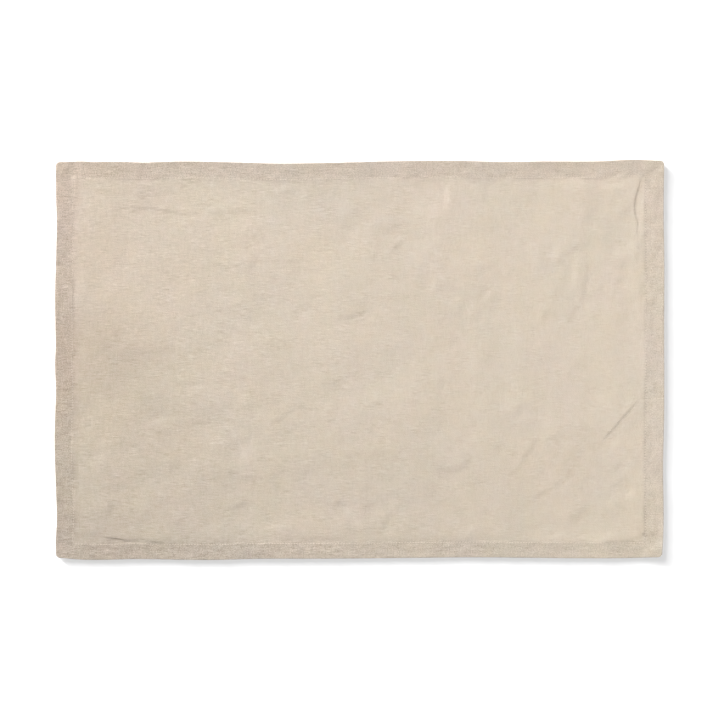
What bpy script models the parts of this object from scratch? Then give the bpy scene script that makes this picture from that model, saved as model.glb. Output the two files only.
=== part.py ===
"""Fabric placemat: one cut of washed linen with a turned hem on all four sides, lying on a table.

The long side runs along X, the short side along Y, and +Z is up. The origin is under the middle of the
outline, on the surface that the mat lies on. The tables below are in millimetres.
"""
import math
from collections import namedtuple

import bmesh
import bpy
from mathutils import Vector, noise
from mathutils.geometry import delaunay_2d_cdt

MM = 0.001

# Driving sizes
LENGTH = 501.0  # overall, between the outermost points of the left and right edges
WIDTH = 329.0  # overall, between the outermost points of the top and bottom edges
CLOTH = 1.1  # the single cloth between the hems
LIFT = 0.3  # how far most of that cloth stands off the table
CORNER_RADIUS = 3.5
CORNER_SHRINK = 4  # how soon the radius runs out, inwards of the folded edge
CORNER_RISE = 0.30  # the extra layers where two hems cross
CROSSING_GAIN = 4  # how soon they are all there, inwards of the crossing's edges
PUFF_PLACE = 9.0  # how far inwards the cloth comes down from the hem
PUFF_SHAPE = 1.5  # higher is a rounder shoulder
SETTLING = 0.25  # how gently the cloth comes down on the table
MEAN_DIP = 1.2  # of the edges, inwards of the overall size
HEM_WAVE = 0.22  # the hem's rise and fall
WAVE_SIZE = 24.0
STILL_HEIGHT = 0.6  # the hem's layers below this don't follow the waves above
CRUMPLE_FADE = 3.0  # how soon the cloth's unevenness starts, inwards of the hem

# Sizes of the uneven patches of the washed cloth, and how much they rise and fall. They are drawn out along X
# on the left, and along Y from RIGHT_PART on.
Uneven = namedtuple("Uneven", "size rise")
CRUMPLE = (Uneven(40, 0.40), Uneven(20, 0.20))
RIGHT_PART = 60.0
PART_BLEND = 35.0
ROW_LENGTH = 2.6  # of the streaks, in their widths
COLUMN_LENGTH = 2.2
CELL_SIZE = 1.3
STREAK_SHARE = 0.7
CELL_SHARE = 0.6
COLUMN_SEED = 0.4  # keeps the patterns apart
CELL_SEED = 0.8
WAVE_SEED = 7.7

# How a crease's height fades: at its ends, and over this many widths and a margin on both sides
FOLD_FADE = 0.7
FOLD_REACH = 3
FOLD_MARGIN = 2.0

# Spacing of the solid's points
HEM_STEP = 10.0
BODY_STEP = 8.6
BACK_STEP = 15.0
CREASE_STEP = 5.5
CREASE_OFFSETS = (-1.5, 0.0, 1.5)  # rows of points along a crease, in its widths
SAME_PLACE = 0.001  # rounding, in shares of a seam's inset
CLEAR = 0.2  # the room between the innermost loop and the nearest loose point, in the same shares
CORNER_STEPS = 4
SHARP_CORNER = 1.0  # a corner with a smaller radius is a single point
SAME_POINT = 1e-4
CREASE_CLEARANCE = 0.6  # between creases' points and the lattice, in its steps

# How far each edge dips inwards of the overall size, at places along it: x on the top and bottom edges,
# y on the left and right edges.
Dip = namedtuple("Dip", "along dip")
LEFT = (
    Dip(-160, 1.2), Dip(-150, 0.9), Dip(-135, 1.8), Dip(-100, 0.9), Dip(-61, 0.0), Dip(-41, 0.7),
    Dip(-26, 1.2), Dip(-2, 0.4), Dip(8, 0.9), Dip(28, 0.7), Dip(48, 0.4), Dip(87, 1.3), Dip(112, 1.8),
    Dip(136, 1.2), Dip(156, 1.1),
)
RIGHT = (
    Dip(-159, 1.7), Dip(-150, 1.1), Dip(-82, 0.9), Dip(-50, 0.2), Dip(30, 0.1), Dip(90, 0.0),
    Dip(115, 0.5), Dip(140, 0.4), Dip(156, 0.1),
)
TOP = (
    Dip(-241, 1.9), Dip(-229, 1.4), Dip(-218, 1.9), Dip(-206, 1.6), Dip(-172, 2.2), Dip(-160, 1.7),
    Dip(-91, 2.5), Dip(-74, 3.0), Dip(-22, 2.5), Dip(24, 1.3), Dip(81, 0.9), Dip(121, 1.8),
    Dip(150, 1.4), Dip(196, 1.3), Dip(230, 0.0), Dip(243, 0.8),
)
BOTTOM = (
    Dip(-244, 1.6), Dip(-235, 0.7), Dip(-180, 0.7), Dip(-123, 0.0), Dip(-78, 1.0), Dip(-40, 1.0),
    Dip(9, 1.3), Dip(50, 1.8), Dip(107, 2.1), Dip(140, 1.8), Dip(181, 1.4), Dip(218, 1.5), Dip(244, 2.2),
)

# The sewing line, inwards of each folded edge
SEAM = {"left": 13.8, "right": 14.8, "top": 13.4, "bottom": 12.4}

MEAN_SEAM = sum(SEAM.values()) / len(SEAM)
LEAN = {"left": 0.2, "right": 0.4, "top": 0.0, "bottom": -0.25}  # how much higher a side's folded edge stands

# The hem's section. A place is a share of the way from the folded edge (0) to the sewing line (1).
Section = namedtuple("Section", "place top under")
HEM = (
    Section(0.00, 1.30, 1.30),  # folded edge
    Section(0.03, 2.15, 0.00),
    Section(0.10, 2.18, 0.00),
    Section(0.40, 2.04, 0.00),
    Section(0.65, 1.95, 0.00),
    Section(1.00, 1.85, 0.00),  # sewing line, pulled down
    Section(1.15, 1.86, 0.00),  # inner fold
    Section(1.19, 1.85, 0.75),  # one layer from here
)
INNER_FOLD = HEM[-1]
INNER_RINGS = (1.42, 1.75)  # loops of points where the cloth comes down from the hem

# Creases and folds of the single cloth. Each is a line, and the cloth stands higher on the left of the line's
# direction by the drop, or lower where that is negative. It falls over about the width on each side.
Crease = namedtuple("Crease", "line drop width")


def crease(*points, drop, width):
    return Crease([Vector(point) for point in points], drop, width)


CREASES = (
    crease((226, 80), (229, 101), (226, 115), (228, 131), (231, 140), (235, 151), drop=0.85, width=1.0),
    crease((232, 108), (233, 130), (237, 143), drop=-0.24, width=1.8),
    crease((190, -79), (200, -68), (214, -50), (229, -33), drop=0.60, width=1.2),
    crease((-212, -144), (-195, -147), (-177, -149), (-163, -151), drop=0.85, width=1.0),
    crease((-192, 124), (-175, 124), (-151, 121), drop=0.38, width=1.5),
    crease((-153, 120), (-130, 119), (-97, 123), (-84, 121), drop=0.26, width=2.4),
    crease((-117, 33), (-100, 24), (-91, 19), drop=0.36, width=1.8),
    crease((-122, -11), (-108, -11), (-82, -21), drop=0.34, width=1.8),
    crease((-88, 82), (-68, 82), (-45, 82), drop=0.25, width=1.8),
    crease((-18, 30), (-9, 35), (9, 42), drop=0.36, width=1.8),
    crease((-34, -22), (-10, -14), (0, -12), drop=0.30, width=2.2),
    crease((-77, -53), (-57, -43), (-47, -40), drop=0.36, width=2.0),
    crease((-114, -120), (-97, -119), (-87, -117), drop=0.45, width=2.0),
    crease((-113, -93), (-95, -97), (-78, -96), drop=0.50, width=2.6),
    crease((-142, -69), (-119, -80), drop=0.30, width=2.0),
    crease((61, -87), (83, -90), (93, -80), drop=0.52, width=2.5),
    crease((132, -92), (147, -63), drop=0.32, width=1.9),
    crease((18, -142), (26, -125), drop=0.38, width=1.9),
    crease((139, -118), (158, -106), drop=0.28, width=1.8),
    crease((183, 43), (187, 68), (187, 81), drop=0.38, width=1.7),
)

# The broader folds, which are straight, by their middle, their length and their direction in degrees from +X
Fold = namedtuple("Fold", "x y length turn drop width")
FOLDS = (
    Fold(-178, 5, 56, 2, 0.62, 6.0),
    Fold(187, 116, 14, 10, 0.34, 4.0),
    Fold(215, 65, 12, 30, 0.32, 3.6),
    Fold(218, 121, 10, 50, 0.28, 3.0),
    Fold(-152, -88, 14, 40, 0.50, 4.2),
    Fold(-204, -121, 15, 62, 0.62, 3.2),
    Fold(178, -129, 25, 32, 0.46, 4.5),
    Fold(-229, 69, 42, 90, -0.34, 3.0),
    Fold(-215, 50, 18, 8, -0.52, 4.6),
    Fold(-187, 85, 19, 88, -0.26, 3.0),
    Fold(72, 134, 26, 88, -0.56, 3.0),
    Fold(60, 120, 9, 20, -0.30, 3.0),
    Fold(78, 8, 17, 0, -0.34, 3.4),
    Fold(211, 87, 9, 45, -0.38, 3.0),
    Fold(-101, -39, 18, 20, -0.40, 6.0),
    Fold(-213, -80, 13, 70, -0.52, 3.2),
    Fold(-179, -120, 16, 16, -0.42, 5.0),
    Fold(-190, -140, 9, 45, -0.38, 3.2),
    Fold(75, -61, 20, 18, -0.42, 6.0),
    Fold(-68, -137, 28, 4, -0.66, 3.8),
    Fold(0, -135, 11, 30, -0.56, 4.0),
    Fold(88, -139, 17, 14, -0.50, 5.0),
    Fold(223, -110, 11, 30, -0.52, 3.2),
)

# The material's colour, and a matt finish
LINEN = (0.68, 0.58, 0.47, 1.0)
LINEN_ROUGHNESS = 0.95
SHARP_ANGLE = 50  # degrees, between faces that don't share their shading


def eased(rows, place):
    """The value of a two-column table at a place, easing in and out of every row."""
    if place <= rows[0][0]:
        return rows[0][1]
    for (start, low), (end, high) in zip(rows, rows[1:]):
        if place <= end:
            share = (place - start) / (end - start)
            return low + (high - low) * share * share * (3 - 2 * share)
    return rows[-1][1]


def left_edge(y):
    return -LENGTH / 2 + eased(LEFT, y)


def right_edge(y):
    return LENGTH / 2 - eased(RIGHT, y)


def top_edge(x):
    return WIDTH / 2 - eased(TOP, x)


def bottom_edge(x):
    return -WIDTH / 2 + eased(BOTTOM, x)


def hem_places(x, y):
    """The nearer of the left and right, and of the top and bottom hems, as places in the hem's section."""
    across = min((x - left_edge(y)) / SEAM["left"], (right_edge(y) - x) / SEAM["right"])
    along = min((y - bottom_edge(x)) / SEAM["bottom"], (top_edge(x) - y) / SEAM["top"])
    return across, along


def ring(place, step):
    """A closed loop at one place in the hem's section, anticlockwise, with its corners rounded."""
    inset = {side: place * seam for side, seam in SEAM.items()}
    radius = max(CORNER_RADIUS * (1 - place * CORNER_SHRINK), 0)
    x_low = -LENGTH / 2 + MEAN_DIP + inset["left"]
    x_high = LENGTH / 2 - MEAN_DIP - inset["right"]
    y_low = -WIDTH / 2 + MEAN_DIP + inset["bottom"]
    y_high = WIDTH / 2 - MEAN_DIP - inset["top"]

    def corner(x, y, first):
        """A quarter circle around the corner, or the corner itself."""
        edge_x = left_edge(y) + inset["left"] if x < 0 else right_edge(y) - inset["right"]
        edge_y = bottom_edge(x) + inset["bottom"] if y < 0 else top_edge(x) - inset["top"]
        if radius < SHARP_CORNER:
            return [(edge_x, edge_y)]
        middle_x = edge_x + math.copysign(radius, -x)
        middle_y = edge_y + math.copysign(radius, -y)
        angles = [math.radians(first + 90 * turn / CORNER_STEPS) for turn in range(CORNER_STEPS + 1)]
        return [(middle_x + radius * math.cos(a), middle_y + radius * math.sin(a)) for a in angles]

    def between(low, high):
        """Places along a side, clear of its corners."""
        margin = radius + step / 2
        count = round((high - low - 2 * margin) / step)
        return [low + margin + (high - low - 2 * margin) * i / count for i in range(count + 1)]

    loop = corner(x_low, y_low, 180)
    loop += [(x, bottom_edge(x) + inset["bottom"]) for x in between(x_low, x_high)]
    loop += corner(x_high, y_low, 270)
    loop += [(right_edge(y) - inset["right"], y) for y in between(y_low, y_high)]
    loop += corner(x_high, y_high, 0)
    loop += [(x, top_edge(x) - inset["top"]) for x in reversed(between(x_low, x_high))]
    loop += corner(x_low, y_high, 90)
    loop += [(left_edge(y) + inset["left"], y) for y in reversed(between(y_low, y_high))]
    return [Vector(point) for point in loop]


def beside(line, point):
    """How far a point is from a line of points, on which side of it, and how far along, as a share."""
    gap, side, place, passed = math.inf, 0.0, 0.0, 0.0
    for start, end in zip(line, line[1:]):
        run = end - start
        away = point - start
        share = min(max(away.dot(run) / run.length_squared, 0), 1)
        here = (run * share - away).length
        if here < gap:
            gap, place = here, passed + run.length * share
            side = math.copysign(1, run.cross(away))
        passed += run.length
    return gap, side, place / passed


def straight_line(fold):
    """The line of a straight fold, as a crease."""
    turn = math.radians(fold.turn)
    half = Vector((math.cos(turn), math.sin(turn))) * fold.length / 2
    middle = Vector((fold.x, fold.y))
    return Crease([middle - half, middle + half], fold.drop, fold.width)


ALL_FOLDS = CREASES + tuple(straight_line(fold) for fold in FOLDS)


def crease_rise(crease, point):
    """What a crease adds to the height at a point, fading towards the line's ends and away from the line."""
    gap, side, share = beside(crease.line, point)
    reach = FOLD_REACH * crease.width + FOLD_MARGIN
    fade = max(math.sin(math.pi * share), 0) ** FOLD_FADE
    return crease.drop / 2 * fade * side * math.tanh(gap / crease.width) * math.exp(-gap / reach)


def fold_rise(point):
    return sum(crease_rise(crease, point) for crease in ALL_FOLDS)


def noise_at(point, x_size, y_size, seed):
    """Smooth noise from about -1 to 1 at a point, with cells of the given sizes."""
    return noise.noise(Vector((point.x / x_size, point.y / y_size, seed)))


def crumple(point):
    """The washed cloth's unevenness: streaks along X on the left and along Y on the right."""
    right = 1 / (1 + math.exp(-(point.x - RIGHT_PART) / PART_BLEND))
    height = 0.0
    for size, rise in CRUMPLE:
        rows = noise_at(point, ROW_LENGTH * size, size, size)
        columns = noise_at(point, size, COLUMN_LENGTH * size, size + COLUMN_SEED)
        cells = noise_at(point, CELL_SIZE * size, CELL_SIZE * size, size + CELL_SEED)
        height += rise * (STREAK_SHARE * (rows * (1 - right) + columns * right) + CELL_SHARE * cells)
    return height


def hem_lean(point):
    """How much the sides' lean lifts a point of the hem."""
    x, y = point
    places = {
        "left": (x - left_edge(y)) / SEAM["left"],
        "right": (right_edge(y) - x) / SEAM["right"],
        "top": (top_edge(x) - y) / SEAM["top"],
        "bottom": (y - bottom_edge(x)) / SEAM["bottom"],
    }
    return sum(LEAN[side] * min(max(1 - place, 0), 1) for side, place in places.items())


def hem_height(point, height, place):
    """The height of a layer of the hem, with its waves, its lean, the crossing layers and the folds."""
    across, along = hem_places(*point)
    crossing = max(0, 1 - across) * max(0, 1 - along)
    fade = min(1, (INNER_FOLD.place - place) / (INNER_FOLD.place - 1))
    wave = HEM_WAVE * noise_at(point, WAVE_SIZE, WAVE_SIZE, WAVE_SEED)
    own = wave + hem_lean(point) + CORNER_RISE * min(1, CROSSING_GAIN * crossing)
    share = min(1, max(0, height - STILL_HEIGHT))
    return height + share * (fade * own + fold_rise(point))


def upper_height(point):
    """Height of the upper face at a point of the mat."""
    place = min(hem_places(*point))
    if place <= INNER_FOLD.place + SAME_PLACE:
        return hem_height(point, eased([(row.place, row.top) for row in HEM], place), place)
    inside = (place - INNER_FOLD.place) * MEAN_SEAM
    away = 1 - math.exp(-inside / CRUMPLE_FADE)
    rise = LIFT + away * crumple(point) + fold_rise(point)
    settled = (rise + math.hypot(rise, SETTLING)) / 2
    flat = (LIFT + math.hypot(LIFT, SETTLING)) / 2
    step = INNER_FOLD.top - CLOTH - flat
    return CLOTH + settled + step * math.exp(-((inside / PUFF_PLACE) ** PUFF_SHAPE))


def under_height(point):
    """Height of the under face. The single cloth hangs below the lowest point of the upper face near it."""
    place = min(hem_places(*point))
    if place <= INNER_FOLD.place + SAME_PLACE:
        return max(hem_height(point, eased([(row.place, row.under) for row in HEM], place), place), 0)
    reach = BACK_STEP / 2
    around = [Vector((dx * reach, dy * reach)) for dx in (-1, 0, 1) for dy in (-1, 0, 1)]
    lowest = min(upper_height(point + way) for way in around)
    return max(lowest - CLOTH, 0)


def crease_points(crease):
    """Rows of points along a crease and on both sides of it."""
    rows = []
    length = sum((end - start).length for start, end in zip(crease.line, crease.line[1:]))
    count = max(2, round(length / CREASE_STEP))
    for offset in CREASE_OFFSETS:
        row = [along_line(crease.line, length * i / count, offset * crease.width) for i in range(count + 1)]
        rows.append([point for point in row if min(hem_places(*point)) > INNER_FOLD.place + CLEAR])
    return rows


def along_line(line, distance, offset):
    """The point at a distance along a line, moved sideways."""
    for start, end in zip(line, line[1:]):
        run = end - start
        if distance <= run.length or end == line[-1]:
            way = run.normalized()
            return start + way * distance + Vector((-way.y, way.x)) * offset
        distance -= run.length


def lattice(step, loop_place, clear_of, clearance):
    """A staggered lattice inside the innermost loop, with room around the points that are already there."""
    cells = {}
    for point in clear_of:
        cells.setdefault((round(point.x / step), round(point.y / step)), []).append(point)
    points = []
    row_height = step * math.sqrt(3) / 2
    for row in range(int(-WIDTH / 2 / row_height), int(WIDTH / 2 / row_height) + 1):
        y = row * row_height
        for column in range(int(-LENGTH / 2 / step), int(LENGTH / 2 / step) + 1):
            point = Vector((column * step + (step / 2 if row % 2 else 0), y))
            if min(hem_places(*point)) < loop_place + CLEAR:
                continue
            home = (round(point.x / step), round(point.y / step))
            near = [
                other
                for i in (-1, 0, 1)
                for j in (-1, 0, 1)
                for other in cells.get((home[0] + i, home[1] + j), ())
            ]
            if all((point - other).length > clearance for other in near):
                points.append(point)
    return points


def triangulated(rings, lines, loose):
    """Triangles over the outline, with the hem's rings and the creases' lines kept as edges."""
    points, edges = [], []
    for loop in rings:
        first = len(points)
        points += loop
        edges += [(first + i, first + (i + 1) % len(loop)) for i in range(len(loop))]
    for line in lines:
        first = len(points)
        points += line
        edges += [(first + i, first + i + 1) for i in range(len(line) - 1)]
    points += loose
    outline = list(range(len(rings[0])))
    flat, _, faces, sources, _, _ = delaunay_2d_cdt(points, edges, [outline], 1, SAME_POINT)
    rim = {}
    for index, found in enumerate(sources):
        for source in found:
            if source < len(outline):
                rim[index] = source
    return flat, faces, rim


def add_face_side(mesh, rim_points, flat, faces, rim, height, upwards):
    """Adds one side of the cloth to the mesh, joined to the shared points of the folded edge."""
    corners = []
    for index, point in enumerate(flat):
        if index in rim:
            corners.append(rim_points[rim[index]])
        else:
            corners.append(mesh.verts.new(Vector((point.x, point.y, height(point))) * MM))
    for face in faces:
        order = face if upwards else reversed(face)
        mesh.faces.new([corners[index] for index in order])


def linen_material():
    material = bpy.data.materials.new("linen")
    material.use_nodes = True
    shader = material.node_tree.nodes["Principled BSDF"]
    shader.inputs["Base Color"].default_value = LINEN
    shader.inputs["Roughness"].default_value = LINEN_ROUGHNESS
    shader.inputs["Metallic"].default_value = 0.0
    return material


def make_placemat():
    outline = ring(0, HEM_STEP)
    hem_rings = [outline] + [ring(row.place, HEM_STEP) for row in HEM[1:]]
    top_rings = hem_rings + [ring(place, HEM_STEP) for place in INNER_RINGS]
    lines = [line for crease in CREASES for line in crease_points(crease)]
    taken = [point for line in lines for point in line]

    mesh = bmesh.new()
    rim_points = [mesh.verts.new(Vector((x, y, HEM[0].top)) * MM) for x, y in outline]
    body = lattice(BODY_STEP, INNER_RINGS[-1], taken, BODY_STEP * CREASE_CLEARANCE)
    flat, faces, rim = triangulated(top_rings, lines, body)
    add_face_side(mesh, rim_points, flat, faces, rim, upper_height, True)
    back = lattice(BACK_STEP, INNER_FOLD.place, [], 0)
    flat, faces, rim = triangulated(hem_rings, [], back)
    add_face_side(mesh, rim_points, flat, faces, rim, under_height, False)
    bmesh.ops.triangulate(mesh, faces=mesh.faces)

    data = bpy.data.meshes.new("placemat")
    mesh.to_mesh(data)
    mesh.free()
    data.materials.append(linen_material())
    data.shade_smooth()
    data.set_sharp_from_angle(angle=math.radians(SHARP_ANGLE))
    placemat = bpy.data.objects.new("placemat", data)
    bpy.context.collection.objects.link(placemat)


for old in list(bpy.data.objects):
    bpy.data.objects.remove(old, do_unlink=True)
make_placemat()
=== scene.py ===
"""Washed-linen placemat on a pale surface, seen from straight above.

The cloth is one thin sheet: its single layer between the hems, and a hem that is turned twice to the back on
all four sides. The stitches that hold the hem are a piece of their own. The tables are in millimetres.
"""
import math
from collections import namedtuple

import bpy
import numpy as np
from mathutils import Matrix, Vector, noise
from mathutils.geometry import delaunay_2d_cdt


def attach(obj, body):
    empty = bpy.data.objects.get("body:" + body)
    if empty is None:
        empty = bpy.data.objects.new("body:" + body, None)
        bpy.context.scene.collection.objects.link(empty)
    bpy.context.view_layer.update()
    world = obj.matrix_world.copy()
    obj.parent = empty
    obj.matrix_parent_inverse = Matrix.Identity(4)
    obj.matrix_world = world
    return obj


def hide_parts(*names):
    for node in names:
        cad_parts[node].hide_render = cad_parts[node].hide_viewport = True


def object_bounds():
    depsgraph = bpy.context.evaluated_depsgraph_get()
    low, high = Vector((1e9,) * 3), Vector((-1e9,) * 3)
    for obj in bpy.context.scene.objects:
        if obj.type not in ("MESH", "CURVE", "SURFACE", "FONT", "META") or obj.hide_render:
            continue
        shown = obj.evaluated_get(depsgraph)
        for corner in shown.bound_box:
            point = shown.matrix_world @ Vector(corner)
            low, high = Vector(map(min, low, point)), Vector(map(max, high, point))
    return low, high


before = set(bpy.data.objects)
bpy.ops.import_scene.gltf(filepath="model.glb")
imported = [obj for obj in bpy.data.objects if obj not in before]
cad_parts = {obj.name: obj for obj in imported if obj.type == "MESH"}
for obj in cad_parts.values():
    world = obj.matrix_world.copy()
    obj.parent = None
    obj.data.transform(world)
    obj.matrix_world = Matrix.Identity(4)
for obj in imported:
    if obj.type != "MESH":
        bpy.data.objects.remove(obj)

MM = 0.001
frame_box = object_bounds()

# Driving sizes
LENGTH = (frame_box[1].x - frame_box[0].x) / MM  # overall, of the outline
WIDTH = (frame_box[1].y - frame_box[0].y) / MM
CLOTH = 0.45  # thickness of one layer
LIFT = 1.08  # how far most of the single layer stands off the table
PUFF_PLACE = 20.0  # how far inwards the cloth comes down from the hem
PUFF_POWER = 1.5  # how suddenly it does so
CRUMPLE_START = 3.0  # how far inwards of the hem the crumples have mostly grown
CORNER_RADIUS = 3.5
LEAST_RADIUS = 0.5  # of the hem's inner corners
CORNER_RISE = 0.30  # the extra layers where two hems cross
CROSSING_SPREAD = 4.0  # how quickly that rise is reached
MEAN_DIP = 1.2
SETTLING = 0.25  # how gently the cloth comes down on the table

# The single cloth's crumples, as noise of several sizes. They are cells, and streaks that lie along X on the
# left and along Y on the right.
Crumple = namedtuple("Crumple", "size rise")
CRUMPLES = (Crumple(40, 0.40), Crumple(20, 0.20), Crumple(10, 0.085), Crumple(5.5, 0.03))
STREAK_SHARE = 0.7
CELL_SHARE = 0.6
ROW_STRETCH = 2.6  # length of the streaks along X, in sizes
COLUMN_STRETCH = 2.2
CELL_STRETCH = 1.3
COLUMN_SEED = 0.4
CELL_SEED = 0.8
TURN_PLACE = 60.0  # x where the streaks turn, and how gradually they do
TURN_WIDTH = 35.0

# The hem's own rise and fall: small puckers across it, and slow swells along it
Wave = namedtuple("Wave", "size rise seed")
HEM_WAVES = (Wave(7, 0.14, 2.2), Wave(4, 0.07, 4.9), Wave(24, 0.22, 7.7))

# One stitch from needle hole to needle hole: how high its middle lies over the cloth and how thick it is,
# both in radii of the thread
StitchRow = namedtuple("StitchRow", "share lift girth")
STITCH = (
    StitchRow(0.06, -1.0, 0.35),
    StitchRow(0.15, -0.7, 0.85),
    StitchRow(0.32, -0.3, 1.0),
    StitchRow(0.50, -0.2, 1.0),
    StitchRow(0.68, -0.3, 1.0),
    StitchRow(0.85, -0.7, 0.85),
    StitchRow(0.94, -1.0, 0.35),
)
STITCH_PITCH = 2.27
SLANT = 0.25  # how far a stitch leans over its length
SEAM_END = 1.5  # from the seam's corner to the first needle hole, at least
THREAD = 0.32  # diameter
THREAD_SIDES = 8
THREAD_SPREAD = 1.15  # how much wider than high the pulled thread is
THREAD_TURN = 0.45  # length of one turn of its twist
UNDER_SEAM = 0.24  # height of the thread's middle on the wrong side
UNDER_LIFT = 0.35  # the thread's lift there, as a share of the lift on the right side
UNDER_FLATNESS = 0.8

HOLE = 0.50  # radius of the pinch round a needle hole
HOLE_CORE = 0.15  # radius of its darkest part
HOLE_PAINTED_SHADE = 0.35  # how much painted shade darkens it there
ROW_END = 0.8  # how far a row of holes goes on past the seam's corner
LEVEL_HOLES = 0.15  # how clear the level rows' holes are, as a share of the upright rows'
YARN = 0.70  # from one yarn to the next
YARN_SEED = 7.3  # keeps neighbouring yarns apart

# Colours, as linear red, green and blue
LINEN = (0.545, 0.467, 0.379)
THREAD_COLOUR = (0.65, 0.565, 0.472)
FLOOR_WHITE = 0.95
HEM_SHADE = 0.915  # three layers let no light back from the table
HEM_CONTRAST = 1.5  # how much more its yarns show
BOTTOM_CONTRAST = 1.2  # and how much more again on the bottom hem
SIDE_CONTRASTS = (1.18, 0.66)  # how clearly they show at the left and at the right
HEM_GRAIN = 0.34  # strength of the fine grain that only the hem has
PAINTED_FALLOFF_BOTTOM_TOP = (0.972, 1.022)  # painted light falloff: shade at the bottom and at the top edge
PAINTED_FALLOFF_LEFT_RIGHT = (0.983, 1.012)  # painted light falloff: shade at the left and at the right edge
UPRIGHT_SHADE = 0.978  # painted shade on the left and right hems

# Painted light and shade, in round patches: broad ones for the light's falloff and broad shade, darkest along
# the bottom and at the lower left, then short stretches and corners of the hem for its relief's shade and
# highlights, three dark flecks for the shade of small puckers in the bottom right hem, and at the end two
# flecks of darker flax. A patch has its full shade in its core, and fades out at its size.
PATCH_CORE = 0.2  # as a share of the size
Patch = namedtuple("Patch", "x y size shade")
PAINTED_SHADE_PATCHES_AND_FLECKS = (
    Patch(-250, -190, 330, 0.948),
    Patch(-165, -185, 125, 0.905),
    Patch(0, -190, 150, 0.950),
    Patch(150, -190, 150, 0.965),
    Patch(-225, 0, 55, 0.930),
    Patch(-185, 2, 45, 0.935),
    Patch(-60, -80, 90, 0.985),
    Patch(90, -85, 80, 0.975),
    Patch(30, -95, 70, 0.975),
    Patch(85, 45, 90, 0.988),
    Patch(-170, -48, 60, 0.965),
    Patch(-95, 112, 75, 1.020),
    Patch(-208, 145, 60, 0.965),
    Patch(-208, -150, 45, 0.950),
    Patch(-115, -95, 35, 0.965),
    Patch(23, 92, 40, 0.985),
    Patch(-69, 46, 40, 0.980),
    Patch(69, 115, 50, 1.025),
    Patch(161, -115, 40, 1.015),
    Patch(-244, 27, 16, 0.975),
    Patch(-241, 156, 16, 1.035),
    Patch(-217, -144, 7, 0.950),
    Patch(-243, -128, 6, 0.955),
    Patch(-247, -158, 12, 1.050),
    Patch(-222, -156, 5, 0.950),
    Patch(239, -103, 9, 1.035),
    Patch(249, -131, 5, 1.040),
    Patch(-243, 142, 50, 1.060),
    Patch(-244, -121, 14, 0.960),
    Patch(242, 146, 14, 0.960),
    Patch(242, 23, 14, 0.965),
    Patch(-86, -156, 14, 0.965),
    Patch(187, -157, 30, 1.040),
    Patch(201, 154, 16, 1.045),
    Patch(144, 154, 14, 0.965),
    Patch(233.2, -143.2, 1.8, 0.86),
    Patch(236.0, -144.8, 1.8, 0.86),
    Patch(241.5, -144.0, 2.2, 0.87),
    Patch(158.8, 72.1, 1.4, 0.80),
    Patch(170.7, 151.8, 1.4, 0.80),
)

# Where its tint is warmer or cooler, in the same way
Tint = namedtuple("Tint", "x y size red blue")
TINTS = (
    Tint(-265, 70, 160, 1.022, 1.000),
    Tint(-220, -30, 110, 1.010, 0.976),
    Tint(0, 210, 180, 1.000, 1.014),
    Tint(190, -175, 110, 1.000, 0.984),
)

# Light, as shares of the table's brightness. Directions and spreads are in degrees.
LEVEL = 1.28  # the table's brightness under all of it
Lamp = namedtuple("Lamp", "name share azimuth elevation spread")
LAMPS = (
    Lamp("low_light", 0.22, 137, 8.5, 12),
    Lamp("side_light", 0.23, 128, 19, 20),
    Lamp("overhead_light", 0.45, -30, 82, 15),
)
WORLD_SHARE = 0.10
FLOOR_SIZE = 8.0  # metres

# The photograph's frame: its side at the height of the hem, and its middle
FRAME_SIDE = 591.6
VIEW_X = 0.575
VIEW_Y = -0.205

# Spacing of the mesh's points
EDGE_STEP = 2.1
FACE_STEP = 2.15
BACK_STEP = 4.6
CREASE_STEP = 1.8
BACK_CREASE_STEP = 3.6
LATTICE_CLEARANCE = 0.5  # how far the lattice stays from the creases' points, in steps
CREASE_OFFSETS = (-1.6, -0.8, 0, 0.8, 1.6)  # the rows of points along a crease, in its widths from its line
CREASE_CLEARANCE = 0.1  # how far inwards of the hem they stay, as a place in its section
RING_CLEARANCE = 0.6  # how far the lattice stays from the hem, in steps
CORNER_POINTS = 7
MERGE_DISTANCE = 1e-4  # points nearer than this become one

# How far each edge dips inwards of the overall size, at places along it: x on the top and bottom edges,
# y on the left and right edges.
Dip = namedtuple("Dip", "along dip")
LEFT = (
    Dip(-160, 1.2), Dip(-150, 0.9), Dip(-135, 1.8), Dip(-100, 0.9), Dip(-61, 0.0), Dip(-41, 0.7),
    Dip(-26, 1.2), Dip(-2, 0.4), Dip(8, 0.9), Dip(28, 0.7), Dip(48, 0.4), Dip(87, 1.3), Dip(112, 1.8),
    Dip(136, 1.2), Dip(156, 1.1),
)
RIGHT = (
    Dip(-159, 1.7), Dip(-150, 1.1), Dip(-82, 0.9), Dip(-50, 0.2), Dip(30, 0.1), Dip(90, 0.0),
    Dip(115, 0.5), Dip(140, 0.4), Dip(156, 0.1),
)
TOP = (
    Dip(-241, 1.9), Dip(-229, 1.4), Dip(-218, 1.9), Dip(-206, 1.6), Dip(-172, 2.2), Dip(-160, 1.7),
    Dip(-91, 2.5), Dip(-74, 3.0), Dip(-22, 2.5), Dip(24, 1.3), Dip(81, 0.9), Dip(121, 1.8),
    Dip(150, 1.4), Dip(196, 1.3), Dip(230, 0.0), Dip(243, 0.8),
)
BOTTOM = (
    Dip(-244, 1.6), Dip(-235, 0.7), Dip(-180, 0.7), Dip(-123, 0.0), Dip(-78, 1.0), Dip(-40, 1.0),
    Dip(9, 1.3), Dip(50, 1.8), Dip(107, 2.1), Dip(140, 1.8), Dip(181, 1.4), Dip(218, 1.5), Dip(244, 2.2),
)

# The sewing line, inwards of each folded edge
SEAM = {"left": 13.8, "right": 14.8, "top": 13.4, "bottom": 12.4}
MEAN_SEAM = sum(SEAM.values()) / 4

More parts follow.
